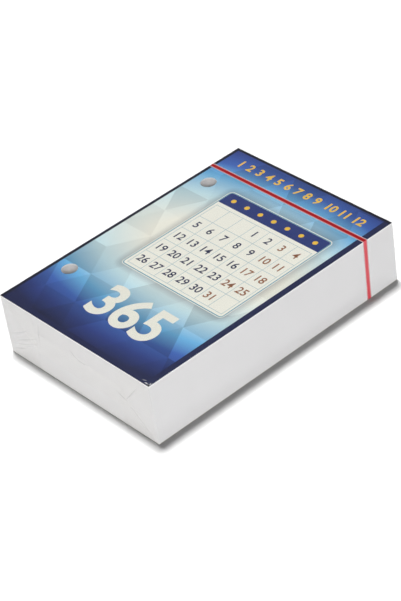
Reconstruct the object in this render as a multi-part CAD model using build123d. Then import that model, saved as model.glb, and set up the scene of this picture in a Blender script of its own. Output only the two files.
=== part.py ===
from build123d import *
import os

# A block of punched calendar leaves for a two-ring desk stand, sealed in clear film with a tear tape.
# Millimetres. X runs across the block, from the punched left edge to the right. Y runs along it, from the
# front end to the back end. Z is up. The origin is under the middle of the leaves, on the table.

# Leaves, cover and back card
leaf_length = 120.0
leaf_width = 83.0
leaf_thickness = 0.07
cover_thickness = 0.20
back_card_thickness = 0.30
days_by_month = {
    "december": 31,
    "november": 30,
    "october": 31,
    "september": 30,
    "august": 31,
    "july": 31,
    "june": 30,
    "may": 31,
    "april": 30,
    "march": 31,
    "february": 28,
    "january": 31,
}

# Ring holes
hole_diameter = 6.4
hole_spacing = 70.0
hole_edge_distance = 8.2
hole_pair_offset = 1.5

# Film wrapper: the lap is the seam's overlap, the flaps are the folds that close the ends
film_thickness = 0.05
lap_share = 0.38
flap_reach_share = 0.68

# Tear tape and its tab
tape_width = 1.7
tape_back_distance = 14.4
tab_reach_share = 0.34
tab_side_clearance = 0.1

# How far every cut runs past the faces that it goes through
overrun = 1.0

# Heights
pad_height = leaf_thickness * sum(days_by_month.values())
paper_bottom = film_thickness
leaves_bottom = paper_bottom + back_card_thickness
leaves_top = leaves_bottom + pad_height
paper_top = leaves_top + cover_thickness
film_top = paper_top + film_thickness
block_middle = film_top / 2
flap_reach = flap_reach_share * film_top
lap_reach = lap_share * film_top
tab_reach = tab_reach_share * film_top

# Sides and ends
left_side = -leaf_width / 2
right_side = leaf_width / 2
front_end = -leaf_length / 2
back_end = leaf_length / 2
left_film = left_side - film_thickness
left_lap = left_film - film_thickness
right_film = right_side + film_thickness

# Tape places, which are also where the two pieces of film end
tape_middle = back_end - tape_back_distance
tape_front = tape_middle - tape_width / 2
tape_back = tape_middle + tape_width / 2


def box_between(low, high):
    """A plain box between two opposite corners."""
    size = [far - near for near, far in zip(low, high)]
    return Pos(*low) * Box(*size, align=(Align.MIN, Align.MIN, Align.MIN))


def punched_sheet(bottom, thickness):
    """A sheet or pad as large as a leaf, with the two ring holes."""
    low = (left_side, front_end, bottom)
    high = (right_side, back_end, bottom + thickness)
    sheet = box_between(low, high)
    middle = bottom + thickness / 2
    for side in (-1, 1):
        along = hole_pair_offset + side * hole_spacing / 2
        place = Pos(left_side + hole_edge_distance, along, middle)
        sheet -= place * Cylinder(hole_diameter / 2, thickness + 2 * overrun)
    return sheet


def paper_stack():
    """The back card, a pad of leaves for each month from the last up to the first, and the cover."""
    pieces = {"back_card": punched_sheet(paper_bottom, back_card_thickness)}
    level = leaves_bottom
    for month, days in days_by_month.items():
        thickness = days * leaf_thickness
        pieces[month + "_leaves"] = punched_sheet(level, thickness)
        level += thickness
    pieces["front_cover"] = punched_sheet(level, cover_thickness)
    return pieces


def film_tube(name, torn_edge, end, outward):
    """The flat panels of one piece of film, from its torn edge at the tape to the folds at a block end.

    Each panel runs out as far as the flap that it is folded into: the sides to the tucks, the base to the
    lower flap and the top to the upper flap.
    """
    side_end = end + outward * film_thickness
    base_end = side_end + outward * film_thickness
    top_end = base_end + outward * film_thickness

    def panel(left, right, low, high, far):
        y_low = min(torn_edge, far)
        y_high = max(torn_edge, far)
        return box_between((left, y_low, low), (right, y_high, high))

    seam_low = block_middle - lap_reach / 2
    seam_high = block_middle + lap_reach / 2
    return {
        name + "_top_film": panel(left_lap, right_film, paper_top, film_top, top_end),
        name + "_base_film": panel(left_film, right_film, 0, paper_bottom, base_end),
        name + "_right_film": panel(right_side, right_film, paper_bottom, paper_top, side_end),
        name + "_inner_lap": panel(left_film, left_side, paper_bottom, seam_high, side_end),
        name + "_outer_lap": panel(left_lap, left_film, seam_low, paper_top, side_end),
    }


def end_plate(points, inner, outward):
    """A flat piece of film on a block end, from its outline's x and z points."""
    outline = Polyline(*[(x, inner, z) for x, z in points], close=True)
    return extrude(make_face(outline), amount=film_thickness, dir=(0, outward, 0))


def end_folds(name, end, outward):
    """The envelope fold on a block end: two side tucks, then the lower flap, then the upper flap."""
    tuck_inner = end
    lower_inner = tuck_inner + outward * film_thickness
    upper_inner = lower_inner + outward * film_thickness
    tuck_left = [
        (left_side, paper_bottom),
        (left_side + flap_reach, paper_bottom),
        (left_side + flap_reach, paper_top),
        (left_side, paper_top),
    ]
    tuck_right = [
        (right_side, paper_bottom),
        (right_side - flap_reach, paper_bottom),
        (right_side - flap_reach, paper_top),
        (right_side, paper_top),
    ]
    lower = [
        (left_film, paper_bottom),
        (right_film, paper_bottom),
        (right_film - flap_reach, paper_bottom + flap_reach),
        (left_film + flap_reach, paper_bottom + flap_reach),
    ]
    upper = [
        (left_film, paper_top),
        (right_film, paper_top),
        (right_film - flap_reach, paper_top - flap_reach),
        (left_film + flap_reach, paper_top - flap_reach),
    ]
    return {
        name + "_left_tuck": end_plate(tuck_left, tuck_inner, outward),
        name + "_right_tuck": end_plate(tuck_right, tuck_inner, outward),
        name + "_lower_flap": end_plate(lower, lower_inner, outward),
        name + "_upper_flap": end_plate(upper, upper_inner, outward),
    }


def tear_tape():
    """The red tape: a flat loop round the block, in the gap between the two pieces of film."""
    loop = box_between((left_film, tape_front, 0), (right_film, tape_back, film_top))
    inside_low = (left_side, tape_front - overrun, paper_bottom)
    inside_high = (right_side, tape_back + overrun, paper_top)
    return loop - box_between(inside_low, inside_high)


def tear_tab():
    """The loose end of the tape, lying on the seam side with its free end down."""
    low = (left_lap, tape_front + tab_side_clearance, block_middle - tab_reach)
    high = (left_film, tape_back - tab_side_clearance, block_middle)
    return box_between(low, high)


pieces = paper_stack()
pieces |= film_tube("sleeve", tape_front, front_end, -1)
pieces |= end_folds("front", front_end, -1)
pieces |= film_tube("cap", tape_back, back_end, 1)
pieces |= end_folds("back", back_end, 1)
pieces["tear_tape"] = tear_tape()
pieces["tear_tab"] = tear_tab()

os.makedirs("parts", exist_ok=True)
for node, piece in pieces.items():
    export_step(piece, f"parts/{node}.step")
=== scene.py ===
import math

import bmesh
import bpy
from mathutils import Matrix, Vector, geometry, noise


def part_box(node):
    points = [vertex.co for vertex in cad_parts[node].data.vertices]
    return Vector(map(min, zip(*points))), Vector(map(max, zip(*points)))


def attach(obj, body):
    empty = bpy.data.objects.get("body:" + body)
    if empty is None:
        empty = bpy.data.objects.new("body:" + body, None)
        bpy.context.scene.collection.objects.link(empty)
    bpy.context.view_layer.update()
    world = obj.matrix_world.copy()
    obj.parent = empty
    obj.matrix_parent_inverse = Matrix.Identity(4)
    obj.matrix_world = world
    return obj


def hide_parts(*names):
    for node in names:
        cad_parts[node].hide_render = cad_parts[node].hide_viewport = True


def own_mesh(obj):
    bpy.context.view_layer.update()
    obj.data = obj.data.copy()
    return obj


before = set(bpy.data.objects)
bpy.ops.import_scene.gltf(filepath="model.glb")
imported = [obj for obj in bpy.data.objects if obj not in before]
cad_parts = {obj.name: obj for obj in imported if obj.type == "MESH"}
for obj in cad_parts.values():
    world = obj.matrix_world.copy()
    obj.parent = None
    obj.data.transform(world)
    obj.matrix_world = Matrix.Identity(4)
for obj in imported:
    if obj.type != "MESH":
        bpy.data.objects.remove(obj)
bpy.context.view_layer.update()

# A block of punched calendar leaves with a printed cover, sealed in clear film with a red tear tape.
# Lengths are written in millimetres and turned to metres where a mesh is made. The lights and the
# floor are in metres.
MM = 0.001
UP = Vector((0, 0, 1))


def node_box(name):
    """A solid's lowest and highest corner, in millimetres."""
    low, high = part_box(name)
    return Vector(low) / MM, Vector(high) / MM


# Places taken from the solids
cover_low, cover_high = node_box("front_cover")
paper_left, paper_front = cover_low.x, cover_low.y
paper_right, paper_back = cover_high.x, cover_high.y
paper_top = cover_high.z
paper_bottom = node_box("back_card")[0].z
paper_width = paper_right - paper_left
paper_length = paper_back - paper_front
paper_height = paper_top - paper_bottom
film_top = node_box("sleeve_top_film")[1].z
film_layer = film_top - paper_top
tape_front = node_box("tear_tape")[0].y
tape_back = node_box("tear_tape")[1].y
tape_middle = (tape_front + tape_back) / 2
tape_half = (tape_back - tape_front) / 2
tab_low, tab_high = node_box("tear_tab")
seam_high = node_box("sleeve_inner_lap")[1].z
seam_low = node_box("sleeve_outer_lap")[0].z
flap_reach = node_box("front_left_tuck")[1].x - paper_left
leaf_pads = [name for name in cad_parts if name.endswith("_leaves")]

# Sheets
leaf_thickness = 0.07
film_sheet = 0.025
tape_sheet = film_layer * 0.9
fold_radius = 0.14

# The tape leans towards the front as it goes down the right side, and comes back under the base.
# A point this near the top, the right side or the base belongs to it.
tape_lean = 0.65
side_zone = 0.5


# Colours, as they look in a picture
def seen(red, green, blue):
    """A colour given by its 0 to 255 values in a picture, as the shader's linear colour."""
    def linear(value):
        share = value / 255
        if share <= 0.04045:
            return share / 12.92
        return ((share + 0.055) / 1.055) ** 2.4
    return (linear(red), linear(green), linear(blue), 1.0)


navy = seen(25, 33, 76)
ink_black = seen(14, 17, 40)
deep_blue = seen(38, 56, 122)
blue = seen(56, 92, 166)
sky = seen(104, 172, 214)
pale_cyan = seen(196, 224, 230)
cream = seen(242, 241, 228)
panel_cream = seen(246, 245, 233)
teal = seen(70, 150, 175)
gold = seen(240, 196, 70)
brown = seen(150, 96, 60)
cover_white = seen(246, 246, 246)
leaf_white = seen(235, 234, 234)
leaf_cream = seen(238, 236, 224)
rule_grey = seen(178, 176, 160)
card_white = seen(228, 226, 220)
speck_grey = seen(176, 170, 158)
film_silver = seen(246, 248, 250)
bond_pink = seen(252, 226, 228)
# Painted shadow in the film's pinch, and painted highlight on its creases
pinch_shadow_black = seen(14, 14, 18)
crease_glint_white = seen(244, 244, 247)
# Painted highlight on the creases of the folded ends
ridge_highlight_white = seen(252, 252, 252)
floor_grey = seen(172, 172, 172)

# Colours of the tape, and tints of light that goes through a sheet, as linear values
tape_red = (0.54, 0.006, 0.014, 1.0)
# The tape's paler red on the sides is painted light, for the white paper under it
tape_side_lit_red = (0.88, 0.105, 0.14, 1.0)
tape_edge_pink = (0.90, 0.40, 0.40, 1.0)
tape_tint = (0.97, 0.06, 0.065, 1.0)
tube_tint = (0.982, 0.982, 0.983, 1.0)
fold_tint = (0.995, 0.994, 0.992, 1.0)
pinch_tint = (0.97, 0.97, 0.975, 1.0)
ridge_tint = (0.995, 0.995, 0.995, 1.0)


# Building materials
class Field:
    """A number that varies over a surface. Arithmetic with it adds nodes."""

    def __init__(self, tree, socket):
        self.tree = tree
        self.socket = socket

    def math(self, operation, *others):
        return math_node(self.tree, operation, self, *others)

    def __add__(self, other):
        return self.math("ADD", other)

    def __sub__(self, other):
        return self.math("SUBTRACT", other)

    def __rsub__(self, other):
        return math_node(self.tree, "SUBTRACT", other, self)

    def __mul__(self, other):
        return self.math("MULTIPLY", other)

    def __truediv__(self, other):
        return self.math("DIVIDE", other)

    def __pow__(self, other):
        return self.math("POWER", other)

    def size(self):
        return self.math("ABSOLUTE")

    def whole(self):
        return self.math("FLOOR")

    def fraction(self):
        return self.math("FRACT")

    def most(self, other):
        return self.math("MAXIMUM", other)

    def about(self, middle, spread):
        """Noise, which lies about 0.5, carried to another middle and spread."""
        return self * spread + (middle - spread / 2)

    def ranged(self, low, high, to_low=0.0, to_high=1.0):
        """This number carried from one range to another, held at both ends."""
        node = self.tree.nodes.new("ShaderNodeMapRange")
        for port, value in zip(node.inputs, (self, low, high, to_low, to_high)):
            plug(self.tree, port, value)
        return Field(self.tree, node.outputs[0])

    def above(self, edge, soft=0.06):
        """One where this number is over the edge, and nought under it."""
        return self.ranged(edge - soft / 2, edge + soft / 2)

    def below(self, edge, soft=0.06):
        """One where this number is under the edge, and nought over it."""
        return self.ranged(edge - soft / 2, edge + soft / 2, 1.0, 0.0)

    def between(self, low, high, soft=0.06):
        """One where this number is over the low edge and under the high one."""
        return self.above(low, soft) * self.below(high, soft)


def plug(tree, port, value):
    """Sets an input to a value, or links a field or a socket to it."""
    if isinstance(value, Field):
        tree.links.new(value.socket, port)
    elif isinstance(value, bpy.types.NodeSocket):
        tree.links.new(value, port)
    else:
        port.default_value = value


def math_node(tree, operation, *values):
    """One step of arithmetic on fields and numbers."""
    node = tree.nodes.new("ShaderNodeMath")
    node.operation = operation
    for port, value in zip(node.inputs, values):
        plug(tree, port, value)
    return Field(tree, node.outputs[0])


def hypotenuse(first, second):
    """The length of a step that has these two parts."""
    return (first ** 2.0 + second ** 2.0) ** 0.5


def looking(normal_part):
    """One on faces that look along a direction, from their normal's part along it."""
    return normal_part.above(0.5, 0.1)


class Nodes:
    """A material, and short calls that build its nodes."""

    def __init__(self, name):
        self.material = bpy.data.materials.new(name)
        self.material.use_nodes = True
        self.tree = self.material.node_tree
        self.surface = self.tree.nodes["Principled BSDF"]
        self.output = self.tree.nodes["Material Output"]
        coordinates = self.add("ShaderNodeTexCoord")
        scale = self.add("ShaderNodeVectorMath")
        scale.operation = "SCALE"
        self.tree.links.new(coordinates.outputs["Object"], scale.inputs[0])
        scale.inputs["Scale"].default_value = 1 / MM
        self.place = scale.outputs[0]
        self.x, self.y, self.z = self.parts(self.place)
        self.facing_x, _, self.facing_z = self.parts(coordinates.outputs["Normal"])

    def add(self, kind):
        return self.tree.nodes.new(kind)

    def parts(self, vector):
        """A vector's three parts."""
        split = self.add("ShaderNodeSeparateXYZ")
        self.tree.links.new(vector, split.inputs[0])
        return [Field(self.tree, port) for port in split.outputs]

    def vector(self, *values):
        """A vector of three parts."""
        join = self.add("ShaderNodeCombineXYZ")
        for port, value in zip(join.inputs, values):
            plug(self.tree, port, value)
        return join.outputs[0]

    def noise(self, scale, detail, vector=None):
        """Smooth noise about 0.5, with a scale in features a millimetre."""
        texture = self.add("ShaderNodeTexNoise")
        plug(self.tree, texture.inputs["Vector"], vector or self.place)
        texture.inputs["Scale"].default_value = scale
        texture.inputs["Detail"].default_value = detail
        return Field(self.tree, texture.outputs[0])

    def stretched(self, across, along, up):
        """The surface's place with each direction scaled by its own amount."""
        return self.vector(self.x * across, self.y * along, self.z * up)

    def mix(self, amount, low, high):
        """A colour between two others."""
        node = self.add("ShaderNodeMix")
        node.data_type = "RGBA"
        factor, first, second = node.inputs[0], node.inputs[6], node.inputs[7]
        plug(self.tree, factor, amount)
        plug(self.tree, first, low)
        plug(self.tree, second, high)
        return node.outputs[2]

    def scaled_colour(self, colour, amount):
        """A colour made lighter or darker by a field about one."""
        node = self.add("ShaderNodeVectorMath")
        node.operation = "SCALE"
        plug(self.tree, node.inputs[0], colour[:3] if isinstance(colour, tuple) else colour)
        plug(self.tree, node.inputs["Scale"], amount)
        return node.outputs[0]

    def ramp(self, value, stops):
        """A colour looked up along a row of stops, each a place and a colour."""
        node = self.add("ShaderNodeValToRGB")
        elements = node.color_ramp.elements
        while len(elements) < len(stops):
            elements.new(0.5)
        for element, (place, colour) in zip(elements, stops):
            element.position = place
            element.color = colour
        plug(self.tree, node.inputs[0], value)
        return node.outputs[0]

    def bump(self, height, depth):
        """Relief from a height field, with its depth in millimetres."""
        node = self.add("ShaderNodeBump")
        node.inputs["Strength"].default_value = 1.0
        node.inputs["Distance"].default_value = depth * MM
        plug(self.tree, node.inputs["Height"], height)
        return node.outputs["Normal"]

    def see_through(self, tint, kept):
        """Lets light through the surface, tinted, apart from the share that the surface keeps."""
        through = self.add("ShaderNodeBsdfTransparent")
        through.inputs["Color"].default_value = tint
        blend = self.add("ShaderNodeMixShader")
        plug(self.tree, blend.inputs[0], kept)
        self.tree.links.new(through.outputs[0], blend.inputs[1])
        self.tree.links.new(self.surface.outputs[0], blend.inputs[2])
        self.tree.links.new(blend.outputs[0], self.output.inputs["Surface"])

    def finish(self, **values):
        """Sets the surface's inputs by name, with _ for a space."""
        for name, value in values.items():
            plug(self.tree, self.surface.inputs[name.replace("_", " ")], value)
        return self.material


# The cover's print, in millimetres from the cover's left and front edges
border_left, border_right, border_front, border_back = 1.5, 2.8, 2.4, 1.3
pale_across, pale_along = 46.0, 65.0
fade_across, fade_along = 125.0, 63.5
surround_stops = [
    (0.0, cream), (0.26, cream), (0.48, pale_cyan), (0.66, sky),
    (0.78, blue), (0.90, deep_blue), (1.0, navy),
]
facet_side = 17.0
facet_from, facet_to = 0.2, 1.0
facet_least, facet_most = 0.05, 0.85
panel_left, panel_right, panel_front, panel_back = 20.0, 75.0, 41.0, 98.0
panel_corner = 2.0
panel_shade, panel_shade_reach = 0.35, 3.2
frame_line = (0.35, 0.75)
panel_head, head_inset = 8.0, 0.8
dot_radius = 1.1
grid_columns, grid_rows = 7, 5
grid_margin = 2.0
grid_line, grid_share = 0.22, 0.6
line_soft = 0.01
grid_left = panel_left + grid_margin
grid_front = panel_front + grid_margin
cell_width = (panel_right - panel_left - 2 * grid_margin) / grid_columns
cell_height = (panel_back - panel_front - panel_head - 2 * grid_margin) / grid_rows


def past_panel(across, along):
    """How far a point is outside the panel's rounded outline. It is less than nought inside it."""
    half_width = (panel_right - panel_left) / 2 - panel_corner
    half_length = (panel_back - panel_front) / 2 - panel_corner
    past_side = ((across - (panel_left + panel_right) / 2).size() - half_width).most(0.0)
    past_end = ((along - (panel_front + panel_back) / 2).size() - half_length).most(0.0)
    return hypotenuse(past_side, past_end) - panel_corner


def facets(nodes, across, along):
    """A number for each triangle of a plain triangular net, between nought and one."""
    row_height = facet_side * math.sin(math.radians(60))
    rows = []
    for degrees in (0, 60, 120):
        angle = math.radians(degrees)
        reach = across * math.sin(angle) + along * math.cos(angle)
        rows.append((reach / row_height).whole())
    texture = nodes.add("ShaderNodeTexWhiteNoise")
    nodes.tree.links.new(nodes.vector(*rows), texture.inputs["Vector"])
    return Field(nodes.tree, texture.outputs["Value"])


def cover_surround(nodes, across, along):
    """A surround that goes from cream to navy, with facets that grow stronger outwards."""
    distance = hypotenuse((across - pale_across) / fade_across, (along - pale_along) / fade_along)
    strength = distance.ranged(facet_from, facet_to, facet_least, facet_most)
    tone = (facets(nodes, across, along) - 0.5) * strength + 1.0
    return nodes.scaled_colour(nodes.ramp(distance, surround_stops), tone)


def month_panel(nodes, across, along, colour):
    """A pale panel with a soft shade round it, a head with a row of dots, a grid and a thin frame."""
    outside = past_panel(across, along)
    shade = outside.below(panel_shade_reach / 2, panel_shade_reach) * panel_shade
    colour = nodes.mix(shade, colour, navy)
    colour = nodes.mix(outside.below(0.0), colour, panel_cream)
    head = outside.below(-head_inset) * along.above(panel_back - panel_head)
    colour = nodes.mix(head, colour, deep_blue)
    column = ((across - grid_left) / cell_width).fraction()
    row = ((along - grid_front) / cell_height).fraction()
    dot_along = panel_back - (panel_head + head_inset) / 2
    dots = hypotenuse((column - 0.5) * cell_width, along - dot_along).below(dot_radius)
    colour = nodes.mix(dots * head, colour, gold)
    upright = column.below(grid_line / cell_width, line_soft)
    level = row.below(grid_line / cell_height, line_soft)
    inside = across.between(grid_left, grid_left + grid_columns * cell_width + grid_line)
    inside = inside * along.between(grid_front, grid_front + grid_rows * cell_height + grid_line)
    colour = nodes.mix(upright.most(level) * inside * grid_share, colour, teal)
    return nodes.mix(outside.between(-frame_line[1], -frame_line[0]), colour, teal)


def cover_border(nodes, across, along, colour):
    """A navy border, which is nearly black along the left side and the back."""
    inner = across.between(border_left, paper_width - border_right)
    inner = inner * along.between(border_front, paper_length - border_back)
    colour = nodes.mix(inner, navy, colour)
    outer = across.below(border_left).most(along.above(paper_length - border_back))
    return nodes.mix(outer, colour, ink_black)


def cover_print():
    """The printed card. Its own white shows on its edges and its back."""
    nodes = Nodes("cover_print")
    across = nodes.x - paper_left
    along = nodes.y - paper_front
    colour = cover_surround(nodes, across, along)
    colour = month_panel(nodes, across, along, colour)
    colour = cover_border(nodes, across, along, colour)
    press = nodes.noise(scale=9.0, detail=1.0)
    colour = nodes.scaled_colour(colour, press.about(1.0, spread=0.05))
    fibre = nodes.noise(scale=1.3, detail=3.0)
    card = nodes.scaled_colour(cover_white, fibre.about(1.0, spread=0.08))
    colour = nodes.mix(looking(nodes.facing_z), card, colour)
    relief = nodes.bump(nodes.noise(scale=2.5, detail=4.0), depth=0.004)
    return nodes.finish(Base_Color=colour, Roughness=fibre.about(0.41, spread=0.1), Normal=relief,
                        Specular_IOR_Level=0.25)


def ink(name, colour):
    """Solid printing ink, a little uneven."""
    nodes = Nodes(name)
    press = nodes.noise(scale=6.0, detail=2.0)
    shade = nodes.scaled_colour(colour, press.about(1.0, spread=0.14))
    relief = nodes.bump(nodes.noise(scale=14.0, detail=2.0), depth=0.002)
    return nodes.finish(Base_Color=shade, Roughness=press.about(0.39, spread=0.1), Normal=relief)


# A day leaf's print, in millimetres from the leaf's left and front edges. The number one is three bars,
# each given by its left and right side and by its front and back end.
rule_pitch, rule_width = 7.0, 0.18
rule_first, rule_last = 12.0, 92.0
rule_left, rule_right = 18.0, 78.0
rule_margin = 0.1
rule_share, head_share = 0.7, 0.8
head_line = (97.0, 97.4)
number_bars = [
    ((25.6, 27.2), (101.0, 112.0)),
    ((23.6, 29.2), (101.0, 102.2)),
    ((24.0, 26.0), (109.6, 110.8)),
]

# A painted highlight: the topmost leaves' edges, just under the cover, are made lighter
top_highlight_depth, top_highlight_soft, top_highlight_gain = 0.45, 0.3, 0.17


def leaf_edge_colour(nodes, edges, mottle):
    """The cut edges of the stacked leaves, with a painted highlight along the topmost ones."""
    bundles = nodes.noise(scale=1.0, detail=3.0, vector=nodes.stretched(0.02, 0.02, 1.7))
    # Painted highlight: a lighter band at the top of the sides, under the cover
    top_highlight = nodes.z.above(cover_low.z - top_highlight_depth, top_highlight_soft)
    tone = edges.about(1.0, spread=0.07) + bundles.about(0.0, spread=0.05)
    tone = tone + mottle.about(0.0, spread=0.05) + top_highlight * top_highlight_gain
    return nodes.scaled_colour(leaf_white, tone)


def leaf_face_colour(nodes):
    """A leaf's printed face."""
    across = nodes.x - paper_left
    along = nodes.y - paper_front
    in_column = across.between(rule_left, rule_right)
    rule = ((along - rule_first) / rule_pitch).fraction().below(rule_width / rule_pitch, line_soft)
    rule = rule * along.between(rule_first - rule_margin, rule_last) * in_column
    head = along.between(*head_line) * in_column
    stem, foot, flag = [across.between(*sides) * along.between(*ends) for sides, ends in number_bars]
    fibre = nodes.noise(scale=1.6, detail=3.0)
    colour = nodes.scaled_colour(leaf_cream, fibre.about(1.0, spread=0.05))
    colour = nodes.mix(rule * rule_share, colour, rule_grey)
    colour = nodes.mix(head * head_share, colour, brown)
    return nodes.mix(stem.most(foot).most(flag), colour, brown)


def leaf_paper():
    """Day leaves: cut edges round the block, and print on the faces that show when it is open."""
    nodes = Nodes("leaf_paper")
    edges = nodes.noise(scale=1.0, detail=2.0, vector=nodes.stretched(0.04, 0.04, 1 / leaf_thickness))
    mottle = nodes.noise(scale=0.12, detail=3.0)
    on_face = looking(nodes.facing_z.size())
    colour = nodes.mix(on_face, leaf_edge_colour(nodes, edges, mottle), leaf_face_colour(nodes))
    relief = nodes.bump(edges, depth=0.012)
    return nodes.finish(Base_Color=colour, Roughness=mottle.about(0.77, spread=0.1), Normal=relief)


def back_board():
    """Stiff white card with a few grey specks."""
    nodes = Nodes("back_board")
    speck_edge, speck_share = 0.68, 0.35
    fibre = nodes.noise(scale=0.9, detail=5.0)
    speck = nodes.noise(scale=3.5, detail=2.0).above(speck_edge)
    colour = nodes.scaled_colour(card_white, fibre.about(0.99, spread=0.12))
    colour = nodes.mix(speck * speck_share, colour, speck_grey)
    relief = nodes.bump(nodes.noise(scale=4.0, detail=4.0), depth=0.01)
    return nodes.finish(Base_Color=colour, Roughness=fibre.about(0.80, spread=0.12), Normal=relief)


# The film is milky along the tape, where the two are bonded, and hazy at the welded seam
bond_margin, bond_soft, bond_share = 0.32, 0.2, 0.4
weld_least, weld_most = 0.02, 0.10
small_waves = 0.12


def off_tape(nodes):
    """How far a point of the wrapper is from the tape's middle line, which leans as tape_shift says."""
    on_right = nodes.x.above(paper_right - side_zone)
    below = nodes.z.below(paper_bottom + side_zone) * (1.0 - on_right)
    down = (film_top - nodes.z) / film_top
    under = (nodes.x - paper_left) / paper_width
    shift = (on_right * down + below * under) * -tape_lean
    return (nodes.y - tape_middle - shift).size()


def clear_film(name, haze, gloss, wave_depth, tint):
    """Thin clear film: most light goes straight through, and the rest is mirrored by its two faces."""
    nodes = Nodes(name)
    weight = nodes.add("ShaderNodeLayerWeight")
    weight.inputs["Blend"].default_value = 0.5
    glancing = Field(nodes.tree, weight.outputs["Facing"])
    on_seam = nodes.x.below(paper_left) * nodes.z.between(seam_low, seam_high)
    weld = nodes.noise(scale=1.0, detail=2.0, vector=nodes.stretched(1.0, 0.9, 3.0))
    weld = on_seam * weld.ranged(0.3, 0.7, weld_least, weld_most)
    bond = off_tape(nodes).below(tape_half + bond_margin, bond_soft)
    kept = (glancing ** 5.0) * gloss + weld + bond * bond_share + haze
    waves = nodes.noise(scale=0.16, detail=3.0) + nodes.noise(scale=0.9, detail=2.0) * small_waves
    smears = nodes.noise(scale=0.5, detail=2.0)
    nodes.finish(Base_Color=nodes.mix(bond, film_silver, bond_pink), Metallic=1.0 - bond,
                 Roughness=smears.about(0.10, spread=0.08), Normal=nodes.bump(waves, wave_depth))
    nodes.see_through(tint, kept)
    return nodes.material


# The pinch of film at the front right corner: a low fan, a dark spot and raised creases. The dark spot
# is painted shadow, and the white on the raised creases is painted highlight. Places are in millimetres
# from the right side and the front end. A crease is a curve of four control points, and a height.
fan_reach, fan_hub, fan_foot = 2.4, 0.06, 0.04
fan_lift, fan_lift_power = 0.06, 0.7
fan_pitch, fan_seed = (0.9, 0.8), (1.7, 0.37)
pinch_shadow_place = (0.50, 0.36)
pinch_shadow_radius, pinch_shadow_soft = 0.48, 0.3
crease_foot, crease_width = 0.05, 0.50
crease_glint_rise = (0.04, 0.20)
crease_glint_share, pinch_haze = 0.8, 0.02
corner_creases = [
    ([(3.00, 0.50), (2.20, 0.66), (1.50, 0.76), (0.90, 0.66)], 0.30),
    ([(0.45, 1.80), (0.42, 1.35), (0.32, 1.00), (0.18, 0.70)], 0.30),
    ([(5.20, 0.65), (4.10, 1.25), (3.20, 1.70), (2.30, 1.85)], 0.155),
]


def pleated_film():
    """Film pinched at a corner: clear, with white painted highlights on its raised creases and a dark
    painted shadow in the pinch.
    """
    nodes = Nodes("pleated_film")
    off_side = paper_right - nodes.x - pinch_shadow_place[0]
    off_end = nodes.y - paper_front - pinch_shadow_place[1]
    # Painted shadow: a dark spot in the pinch
    pinch = hypotenuse(off_side, off_end).below(pinch_shadow_radius, pinch_shadow_soft)
    foot = film_top + crease_foot
    # Painted highlight: the creases turn white as they rise
    crease = nodes.z.ranged(foot + crease_glint_rise[0], foot + crease_glint_rise[1])
    grain = nodes.noise(scale=3.0, detail=3.0)
    nodes.finish(Base_Color=nodes.mix(pinch, crease_glint_white, pinch_shadow_black), Specular_IOR_Level=0.2,
                 Roughness=grain.about(0.40, spread=0.2), Normal=nodes.bump(grain, depth=0.02))
    nodes.see_through(pinch_tint, crease * crease_glint_share + pinch + pinch_haze)
    return nodes.material


# Creases of a folded end: curves of four control points, in shares of the block's width from its left
# side and of its height from its top
end_creases = [
    [(0.030, 0.62), (0.080, 0.56), (0.125, 0.48), (0.165, 0.37)],
    [(0.038, 0.71), (0.100, 0.65), (0.170, 0.55), (0.230, 0.41)],
    [(0.030, 0.80), (0.095, 0.74), (0.170, 0.64), (0.236, 0.50)],
    [(0.021, 0.90), (0.060, 0.86), (0.100, 0.80), (0.145, 0.71)],
    [(0.262, 0.10), (0.255, 0.22), (0.245, 0.36), (0.240, 0.48)],
    [(0.468, 0.19), (0.480, 0.32), (0.540, 0.40), (0.615, 0.27)],
    [(0.760, 0.45), (0.785, 0.48), (0.810, 0.51), (0.835, 0.54)],
    [(0.920, 0.15), (0.885, 0.28), (0.850, 0.42), (0.822, 0.52)],
    [(0.825, 0.56), (0.880, 0.68), (0.925, 0.80), (0.965, 0.91)],
]
ridge_height, ridge_width = 0.11, 0.90
ridge_foot = 3 * film_layer + 0.03
# The next two set a painted highlight: white that grows on a crease as it stands up off the end
ridge_highlight_rise = 0.06
ridge_highlight_haze = (0.004, 0.085)


def ridged_film():
    """Film along a crease of a folded end, made white where it stands up: a painted highlight along the
    crease.
    """
    nodes = Nodes("ridged_film")
    past_foot = nodes.y.size() - paper_back - ridge_foot
    grain = nodes.noise(scale=2.0, detail=2.0)
    nodes.finish(Base_Color=ridge_highlight_white, Roughness=grain.about(0.40, spread=0.2),
                 Normal=nodes.bump(grain, depth=0.02))
    # Painted highlight: the white share grows as the film stands up off the end
    nodes.see_through(ridge_tint, past_foot.ranged(0.0, ridge_highlight_rise, *ridge_highlight_haze))
    return nodes.material


def red_tape():
    """Translucent red tape: half of it shows its own red, and the rest tints what is under it.

    Down the sides it is given a paler red, and more of its own colour shows there: painted light, for
    the white paper under it. It is also paler along its two edges.
    """
    nodes = Nodes("red_tape")
    edge_width, edge_share = 0.2, 0.6
    top_kept, painted_side_share = 0.5, 0.2
    streaks = nodes.noise(scale=1.0, detail=2.0, vector=nodes.stretched(0.15, 3.0, 0.15))
    painted_light_side = looking(nodes.facing_x.size())
    edge = off_tape(nodes).above(tape_half - edge_width, edge_width)
    # Painted light: the sides get a paler red, for the white paper that lights the tape from under it
    colour = nodes.mix(painted_light_side, tape_red, tape_side_lit_red)
    colour = nodes.mix(edge * edge_share, colour, tape_edge_pink)
    colour = nodes.scaled_colour(colour, streaks.about(1.0, spread=0.2))
    nodes.finish(Base_Color=colour, Roughness=streaks.about(0.30, spread=0.1),
                 Normal=nodes.bump(streaks, depth=0.01))
    # The sides also show more of the tape's own colour, as part of the same painted light
    nodes.see_through(tape_tint, painted_light_side * painted_side_share + top_kept)
    return nodes.material


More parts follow.
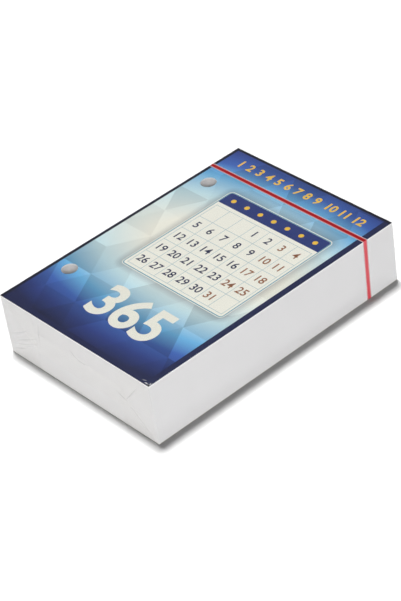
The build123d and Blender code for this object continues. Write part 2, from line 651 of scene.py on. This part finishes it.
def floor_paint():
    """Matt floor paint, very slightly uneven."""
    nodes = Nodes("floor")
    tone = nodes.noise(scale=0.01, detail=2.0).about(1.0, spread=0.02)
    return nodes.finish(Base_Color=nodes.scaled_colour(floor_grey, tone), Roughness=0.9)


# Making pieces
def add_piece(name, bm, material, body, nodes=()):
    """Makes an object of a mesh built in millimetres, and says what carries it and what it replaces."""
    bm.transform(Matrix.Scale(MM, 4))
    bmesh.ops.recalc_face_normals(bm, faces=bm.faces)
    mesh = bpy.data.meshes.new(name)
    bm.to_mesh(mesh)
    bm.free()
    mesh.materials.append(material)
    piece = bpy.data.objects.new(name, mesh)
    bpy.context.scene.collection.objects.link(piece)
    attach(piece, body)
    if nodes:
        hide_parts(*nodes)
    return piece


def sharpen(bm):
    """Keeps a sheet's cut edges crisp while its faces shade smoothly."""
    crisp = math.radians(40)
    bm.normal_update()
    for edge in bm.edges:
        if len(edge.link_faces) == 2 and edge.calc_face_angle(0.0) > crisp:
            edge.smooth = False


def add_sheet(bm, rows, thickness, closed=False):
    """Adds a thin closed sheet. Each row holds pairs of an outer point and its outward normal."""
    outer = [[bm.verts.new(point) for point, _ in row] for row in rows]
    inner = [[bm.verts.new(point - thickness * normal) for point, normal in row] for row in rows]
    count = len(rows)
    width = len(rows[0])
    last = count if closed else count - 1
    for i in range(last):
        j = (i + 1) % count
        for k in range(width - 1):
            bm.faces.new((outer[i][k], outer[i][k + 1], outer[j][k + 1], outer[j][k]))
            bm.faces.new((inner[i][k], inner[j][k], inner[j][k + 1], inner[i][k + 1]))
        for k in (0, width - 1):
            bm.faces.new((outer[i][k], outer[j][k], inner[j][k], inner[i][k]))
    if not closed:
        for i in (0, count - 1):
            for k in range(width - 1):
                bm.faces.new((outer[i][k], inner[i][k], inner[i][k + 1], outer[i][k + 1]))
    for face in bm.faces:
        face.smooth = True
    sharpen(bm)


def rounded_path(corners, radius, spacing, closed=False):
    """Points and outward normals along a path of straight runs in X and Z whose turns are small arcs.

    The path keeps the block on its left. A closed path starts just after its first corner.
    """
    corners = [Vector(corner) for corner in corners]
    count = len(corners)
    path = []

    def add_run(start, end):
        direction = (end - start).normalized()
        normal = Vector((direction.y, -direction.x))
        length = (end - start).length
        steps = max(1, round(length / spacing))
        places = [step / steps for step in range(steps)]
        # A point near each end keeps the run flat up to its turns
        places[1:1] = [radius / length]
        places.append(1 - radius / length)
        for place in places:
            path.append((start.lerp(end, place), normal))

    def add_turn(corner, before, after):
        arc_steps = 4
        first = Vector((before.y, -before.x))
        second = Vector((after.y, -after.x))
        centre = corner - radius * (first + second)
        for step in range(arc_steps):
            normal = first.slerp(second, step / arc_steps)
            path.append((centre + radius * normal, normal))

    runs = count if closed else count - 1
    for i in range(runs):
        start, end = corners[i], corners[(i + 1) % count]
        direction = (end - start).normalized()
        trim_start = radius if closed or i > 0 else 0
        trim_end = radius if closed or i < runs - 1 else 0
        run_end = end - trim_end * direction
        add_run(start + trim_start * direction, run_end)
        if closed or i < runs - 1:
            after = (corners[(i + 2) % count] - end).normalized()
            add_turn(end, direction, after)
        else:
            path.append((run_end, Vector((direction.y, -direction.x))))
    return path


# The wrapper
pleat_width, pleat_length, pleat_height = 2.3, 16.0, 0.09
swell_width, swell_length, swell_height = 7.0, 24.0, 0.07
swell_offset = 5.0
pleat_fade = 8.0
calm_reach, side_calm = 10.0, 3.0
tube_spacing, tube_steps, tube_bunching = 1.6, 46, 0.7
flap_spacing, flap_least_steps = 1.4, 8
flap_wave, flap_wave_height, flap_wave_seed = 4.0, 0.05, 3.0
flap_swell, flap_swell_height, flap_swell_seed = 11.0, 0.12, 7.0
flap_curl, flap_curl_power = 0.03, 6
flap_layers = {"left_tuck": 1, "right_tuck": 1, "lower_flap": 2, "upper_flap": 3}


def tape_shift(x, z):
    """How far the tape is off its straight line at a point of its loop."""
    if x > paper_right - side_zone:
        return -tape_lean * (film_top - z) / film_top
    if z < paper_bottom + side_zone:
        return -tape_lean * (x - paper_left) / paper_width
    return 0.0


def ripple(x, z, from_end):
    """How far the film stands off the block: small pleats that run in from the folded end and die out.

    They are fainter towards the right edge of the top, and faint on the sides.
    """
    pleat_place = (x / pleat_width, from_end / pleat_length, z / pleat_width)
    swell_place = (x / swell_width + swell_offset, from_end / swell_length, z / swell_width)
    pleat = noise.noise(Vector(pleat_place))
    swell = noise.noise(Vector(swell_place))
    from_side = max(0.0, paper_right - x) if z > film_top - side_zone else side_calm
    fade = math.exp(-from_end / pleat_fade) * min(1.0, from_side / calm_reach) ** 2
    return pleat_height * fade * max(0.0, pleat) + swell_height * fade * max(0.0, swell)


def film_tube(name, torn_edge, end, body, nodes, material):
    """One piece of film round the block, from its torn edge at the tape to the folds at the end."""
    left_inner = paper_left - film_layer
    left_outer = left_inner - film_layer
    right = paper_right + film_layer
    corners = [
        (left_inner, seam_high), (left_inner, 0), (right, 0),
        (right, film_top), (left_outer, film_top), (left_outer, seam_low),
    ]
    rows = []
    for place, normal in rounded_path(corners, fold_radius, tube_spacing):
        row = []
        start = torn_edge + tape_shift(place.x, place.y)
        outward = Vector((normal.x, 0, normal.y))
        faces_down = normal.y < -0.1
        for step in range(tube_steps + 1):
            y = start + (end - start) * (step / tube_steps) ** tube_bunching
            lift = 0.0 if faces_down else ripple(place.x, place.y, abs(end - y))
            row.append((Vector((place.x, y, place.y)) + lift * outward, outward))
        rows.append(row)
    bm = bmesh.new()
    add_sheet(bm, rows, film_sheet)
    return add_piece(name, bm, material, body, nodes)


def end_fold(name, outline, level, outward, body, nodes, material):
    """A flap of the folded end. The outline has the folded edge's two points, then the free edge's."""
    near_left, near_right, far_right, far_left = [Vector(point) for point in outline]
    normal = Vector((0, outward, 0))
    across_steps = max(flap_least_steps, round((near_right - near_left).length / flap_spacing))
    reach_steps = max(flap_least_steps, round((far_left - near_left).length / flap_spacing))
    rows = []
    for i in range(across_steps + 1):
        row = []
        for j in range(reach_steps + 1):
            near = near_left.lerp(near_right, i / across_steps)
            far = far_left.lerp(far_right, i / across_steps)
            place = near.lerp(far, j / reach_steps)
            # Each layer has small waves of its own, and all layers share the broad swell
            wave_place = (place.x / flap_wave, level * flap_wave_seed, place.y / flap_wave)
            swell_place = (place.x / flap_swell, flap_swell_seed, place.y / flap_swell)
            wave = noise.noise(Vector(wave_place))
            swell = noise.noise(Vector(swell_place))
            lift = flap_wave_height * max(0.0, wave) + flap_swell_height * max(0.0, swell)
            curl = flap_curl * (j / reach_steps) ** flap_curl_power
            y = level + outward * (lift + curl)
            row.append((Vector((place.x, y, place.y)), normal))
        rows.append(row)
    bm = bmesh.new()
    add_sheet(bm, rows, film_sheet)
    return add_piece(name, bm, material, body, nodes)


def folded_end(prefix, end, outward, body, material):
    """The envelope fold on a block end: two side tucks, then the lower flap, then the upper flap."""
    low, high = paper_bottom, paper_top
    left, right = paper_left, paper_right
    left_in, right_in = left + flap_reach, right - flap_reach
    low_in, high_in = low + flap_reach, high - flap_reach
    outlines = {
        "left_tuck": [(left, low), (left, high), (left_in, high), (left_in, low)],
        "right_tuck": [(right, high), (right, low), (right_in, low), (right_in, high)],
        "lower_flap": [(right, low), (left, low), (left_in, low_in), (right_in, low_in)],
        "upper_flap": [(left, high), (right, high), (right_in, high_in), (left_in, high_in)],
    }
    pieces = []
    for part, outline in outlines.items():
        level = end + outward * flap_layers[part] * film_layer
        node = f"{prefix}_{part}"
        pieces.append(end_fold(node + "_film", outline, level, outward, body, [node], material))
    return pieces


def add_crease(bm, corners, outward, width, height):
    """A small tent of film along a curve of four control points, which runs out at both ends."""
    steps = 14
    section = ((-1.0, 0.0), (-0.45, 0.45), (0.0, 1.0), (0.45, 0.45), (1.0, 0.0))
    end_width = 0.25
    points = geometry.interpolate_bezier(*corners, steps + 1)
    rows = []
    for i, point in enumerate(points):
        ahead = points[min(i + 1, steps)] - points[max(i - 1, 0)]
        side = ahead.cross(outward).normalized()
        rise = math.sin(math.pi * i / steps)
        half = width / 2 * (end_width + (1 - end_width) * rise)
        row = []
        for across, up in section:
            row.append((point + across * half * side + up * height * rise * outward, outward))
        rows.append(row)
    add_sheet(bm, rows, film_sheet)


def end_ridges(name, end, outward, body, material):
    """The creases of a folded end."""
    bm = bmesh.new()
    normal = Vector((0, outward, 0))
    level = end + outward * ridge_foot
    for path in end_creases:
        corners = []
        for across, down in path:
            x = paper_left + across * paper_width
            corners.append(Vector((x, level, paper_top - down * paper_height)))
        add_crease(bm, corners, normal, ridge_width, ridge_height)
    return add_piece(name, bm, material, body)


def corner_crumple(name, body, material):
    """A pinch of film gathered at the front right corner: a low fan, and creases that run in to it."""
    bm = bmesh.new()
    rays, rings = 9, 4
    corner = Vector((paper_right, paper_front, film_top))
    rows = []
    for i in range(rays + 1):
        turn = math.radians(90) * i / rays
        direction = Vector((-math.cos(turn), math.sin(turn), 0))
        row = []
        for j in range(rings + 1):
            reach = fan_reach * (fan_hub + (1 - fan_hub) * j / rings)
            wobble_place = (i * fan_pitch[0] + fan_seed[0], j * fan_pitch[1], fan_seed[0] * fan_seed[1])
            wobble = noise.noise(Vector(wobble_place))
            lift = fan_lift * abs(wobble) * (1 - j / rings) ** fan_lift_power
            row.append((corner + reach * direction + (lift + fan_foot) * UP, UP))
        rows.append(row)
    add_sheet(bm, rows, film_sheet)
    level = film_top + crease_foot
    for path, height in corner_creases:
        corners = [Vector((paper_right - aside, paper_front + along, level)) for aside, along in path]
        add_crease(bm, corners, UP, crease_width, height)
    return add_piece(name, bm, material, body)


def tape_loop(material):
    """The red tape: a flat band round the block, between the two pieces of film."""
    spacing = 1.5
    left, right = paper_left - film_layer, paper_right + film_layer
    corners = [(left, film_top), (left, 0), (right, 0), (right, film_top)]
    rows = []
    for place, normal in rounded_path(corners, fold_radius, spacing, closed=True):
        outward = Vector((normal.x, 0, normal.y))
        shift = tape_shift(place.x, place.y)
        row = []
        for y in (tape_front, tape_middle, tape_back):
            row.append((Vector((place.x, y + shift, place.y)), outward))
        rows.append(row)
    bm = bmesh.new()
    add_sheet(bm, rows, tape_sheet, closed=True)
    return add_piece("tear_tape_band", bm, material, "tape", ["tear_tape"])


def tape_tab(material):
    """The tape's loose end on the seam side, held at its top. Its round end curls out a little."""
    steps = 16
    tip_half, curl = 0.2, 0.9
    half = (tab_high.y - tab_low.y) / 2
    middle = (tab_high.y + tab_low.y) / 2
    length = tab_high.z - tab_low.z
    outward = Vector((-1, 0, 0))
    rows = []
    for i in range(steps + 1):
        share = i / steps
        z = tab_high.z - length * share
        x = tab_low.x - curl * share ** 3
        from_tip = length * (1 - share)
        width = half
        if from_tip < half:
            width = math.sqrt(max(tip_half ** 2, half ** 2 - (half - from_tip) ** 2))
        row = []
        for side in (-1, -0.5, 0, 0.5, 1):
            row.append((Vector((x, middle + side * width, z)), outward))
        rows.append(row)
    bm = bmesh.new()
    add_sheet(bm, rows, tape_sheet)
    return add_piece("tear_tab_strip", bm, material, "tab", ["tear_tab"])


# Printed numbers, in millimetres from the cover's left and front edges. A weight is a share of the
# number's height.
ink_lift, ink_depth = 0.004, 0.006
digit_share = 0.7
day_height, day_weight = 3.6, 0.02
days_in_month, first_column, weekend_columns = 31, 3, 2
month_across, month_along = 9.5, 112.8
month_height, month_weight = 4.0, 0.04
one_digit_pitch, two_digit_pitch = 5.2, 7.2
year_across, year_along = 47.0, 22.0
year_height, year_weight = 17.0, 0.035


def printed_numbers(name, items, material, weight):
    """Numbers printed on the cover. Each item is a text, the two places of its middle and its height."""
    large = 6.0
    join_distance = 0.0005
    level = paper_top + ink_lift + ink_depth / 2
    bm = bmesh.new()
    for text, across, along, height in items:
        curve = bpy.data.curves.new(name, "FONT")
        curve.body = text
        curve.align_x = "CENTER"
        curve.align_y = "CENTER"
        curve.size = height / digit_share
        curve.offset = weight * height
        curve.extrude = ink_depth / 2
        curve.resolution_u = 3 if height < large else 10
        holder = bpy.data.objects.new(name, curve)
        mesh = bpy.data.meshes.new_from_object(holder)
        mesh.transform(Matrix.Translation((paper_left + across, paper_front + along, level)))
        bm.from_mesh(mesh)
        bpy.data.objects.remove(holder)
        bpy.data.curves.remove(curve)
        bpy.data.meshes.remove(mesh)
    bmesh.ops.remove_doubles(bm, verts=bm.verts, dist=join_distance)
    return add_piece(name, bm, material, "cover")


def day_numbers():
    """The month panel's days, as weekdays and weekends."""
    weekdays, weekends = [], []
    for day in range(1, days_in_month + 1):
        row, column = divmod(day - 1 + first_column, grid_columns)
        across = grid_left + (column + 0.5) * cell_width
        along = grid_front + (grid_rows - row - 0.5) * cell_height
        group = weekends if column >= grid_columns - weekend_columns else weekdays
        group.append((str(day), across, along, day_height))
    return weekdays, weekends


def month_numbers():
    """The row of months along the back."""
    months = []
    across = month_across
    for month in range(1, 13):
        months.append((str(month), across, month_along, month_height))
        across += one_digit_pitch if month < 9 else two_digit_pitch
    return months


def cover_numbers():
    """The month panel's days, the row of months along the back and the days of a year at the front."""
    weekdays, weekends = day_numbers()
    year = [("365", year_across, year_along, year_height)]
    printed_numbers("cover_weekday_numbers", weekdays, ink("navy_ink", navy), day_weight)
    printed_numbers("cover_weekend_numbers", weekends, ink("brown_ink", brown), day_weight)
    printed_numbers("cover_month_numbers", month_numbers(), ink("gold_ink", gold), month_weight)
    printed_numbers("cover_year_number", year, ink("cream_ink", cream), year_weight)


# Materials of the solids that stay as they are
def dress(name, material):
    """Gives a solid its material."""
    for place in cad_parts[name].material_slots:
        place.material = material


# Studio
light_target = Vector((0, 0, 0.01))


def aimed(name, lamp, place):
    """Puts a lamp at a place and points it at the block."""
    holder = bpy.data.objects.new(name, lamp)
    holder.location = place
    holder.rotation_euler = (light_target - Vector(place)).to_track_quat("-Z", "Y").to_euler()
    bpy.context.scene.collection.objects.link(holder)
    return holder


def softbox(name, place, size, power):
    """A round soft light."""
    lamp = bpy.data.lights.new(name, "AREA")
    lamp.shape = "DISK"
    lamp.size = size
    lamp.energy = power
    return aimed(name, lamp, place)


def sun(name, place, width, strength):
    """An even light from far off, in a place's direction. Its width is in degrees."""
    lamp = bpy.data.lights.new(name, "SUN")
    lamp.angle = math.radians(width)
    lamp.energy = strength
    return aimed(name, lamp, place)


def floor_link(name, plane, state):
    """A light's list of what it lights: the floor alone, or all but the floor."""
    receivers = bpy.data.collections.new(name)
    receivers.objects.link(plane)
    receivers.collection_objects[0].light_linking.link_state = state
    return receivers


def studio(plane):
    """Soft lights: one from above, an even one for the floor alone, and fills from front and back."""
    key = softbox("key_light", (-0.16, 0.06, 1.30), size=0.25, power=6.8)
    floor_light = sun("floor_light", (-0.21, 0.108, 1.30), width=11.0, strength=6.8)
    camera_fill = softbox("camera_fill", (0.92, -0.79, 0.72), size=0.40, power=9.7)
    back_fill = softbox("back_fill", (-0.97, 0.73, 0.30), size=0.40, power=5.0)
    back_glint = softbox("back_glint", (-0.75, 0.56, 1.10), size=0.22, power=0.6)
    floor_light.light_linking.receiver_collection = floor_link("floor_only", plane, "INCLUDE")
    off_floor = floor_link("all_but_floor", plane, "EXCLUDE")
    for light in (camera_fill, back_fill, back_glint):
        light.light_linking.receiver_collection = off_floor
    # The large lights don't show in the film's mirror
    for light in (key, camera_fill, back_fill):
        light.visible_glossy = False
    bpy.context.scene.view_settings.view_transform = "Standard"
    # Light has many sheets of film to go through
    bpy.context.scene.cycles.transparent_max_bounces = 64


def surroundings():
    """Even light from all round: bright from below and at the horizon, and dim from above."""
    world = bpy.data.worlds.new("studio")
    world.use_nodes = True
    tree = world.node_tree
    directions = tree.nodes.new("ShaderNodeTexCoord")
    split = tree.nodes.new("ShaderNodeSeparateXYZ")
    tree.links.new(directions.outputs["Generated"], split.inputs[0])
    height = Field(tree, split.outputs["Z"])
    from_below, at_horizon, from_above = 0.56, 1.0, 0.17
    lower_band, upper_band = (-0.10, 0.0), (0.30, 0.50)
    strength = height.ranged(*lower_band, from_below, at_horizon)
    strength = strength + height.ranged(*upper_band, 0.0, from_above - at_horizon)
    background = tree.nodes["Background"]
    background.inputs["Color"].default_value = (1.0, 1.0, 1.0, 1.0)
    plug(tree, background.inputs["Strength"], strength)
    bpy.context.scene.world = world


def floor():
    """A plain pale floor. Its bounced light is left to the surroundings, which keeps the sides even."""
    half_size, drop = 3.0, 0.00005
    bm = bmesh.new()
    bmesh.ops.create_grid(bm, x_segments=8, y_segments=8, size=half_size)
    mesh = bpy.data.meshes.new("floor")
    bm.to_mesh(mesh)
    bm.free()
    mesh.materials.append(floor_paint())
    plane = bpy.data.objects.new("floor", mesh)
    plane.location.z = -drop
    plane.visible_diffuse = False
    bpy.context.scene.collection.objects.link(plane)
    return plane


# The camera, fitted to the block's corners in the photograph. Angles are in degrees.
camera_azimuth, camera_elevation, camera_roll = 53.153, 36.753, 9.195
camera_distance = 760.536
camera_aim = Vector((5.798, -5.677, 13.0))
sensor_width, focal_length = 36.0, 124.37
nearest_seen = 0.05


def photo_camera():
    """The camera, at the photograph's angle."""
    azimuth, elevation = math.radians(camera_azimuth), math.radians(camera_elevation)
    roll = math.radians(camera_roll)
    level_reach = math.cos(elevation)
    back = Vector((
        math.sin(azimuth) * level_reach,
        -math.cos(azimuth) * level_reach,
        math.sin(elevation),
    ))
    level_right = (-back).cross(UP).normalized()
    level_up = back.cross(level_right)
    right = math.cos(roll) * level_right - math.sin(roll) * level_up
    up = math.cos(roll) * level_up + math.sin(roll) * level_right
    lens = bpy.data.cameras.new("photo_camera")
    lens.sensor_width = sensor_width
    lens.lens = focal_length
    lens.clip_start = nearest_seen
    holder = bpy.data.objects.new("photo_camera", lens)
    turn = Matrix((right, up, back)).transposed()
    place = (camera_aim + camera_distance * back) * MM
    holder.matrix_world = Matrix.Translation(place) @ turn.to_4x4()
    bpy.context.scene.collection.objects.link(holder)
    bpy.context.scene.camera = holder


# The object
dress("front_cover", cover_print())
dress("back_card", back_board())
leaf_material = leaf_paper()
for pad in leaf_pads:
    dress(pad, leaf_material)
cover_numbers()

tube_film = clear_film("clear_film", haze=0.022, gloss=0.6, wave_depth=0.05, tint=tube_tint)
creased_film = clear_film("creased_film", haze=0.012, gloss=0.3, wave_depth=0.06, tint=fold_tint)
tube_parts = ("top_film", "base_film", "right_film", "inner_lap", "outer_lap")
sleeve_nodes = ["sleeve_" + part for part in tube_parts]
cap_nodes = ["cap_" + part for part in tube_parts]
sleeve_end, cap_end = paper_front - film_layer, paper_back + film_layer
soft_pieces = [
    film_tube("sleeve_film", tape_front, sleeve_end, "sleeve", sleeve_nodes, tube_film),
    film_tube("cap_film", tape_back, cap_end, "cap", cap_nodes, tube_film),
]
soft_pieces += folded_end("front", paper_front, -1, "sleeve", creased_film)
soft_pieces += folded_end("back", paper_back, 1, "cap", creased_film)
ridge_material = ridged_film()
soft_pieces.append(end_ridges("front_end_creases", paper_front, -1, "sleeve", ridge_material))
soft_pieces.append(end_ridges("back_end_creases", paper_back, 1, "cap", ridge_material))
soft_pieces.append(corner_crumple("front_right_crumple", "sleeve", pleated_film()))
tape_material = red_tape()
soft_pieces.append(tape_loop(tape_material))
soft_pieces.append(tape_tab(tape_material))
for piece in soft_pieces:
    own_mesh(piece)

studio(floor())
surroundings()
photo_camera()
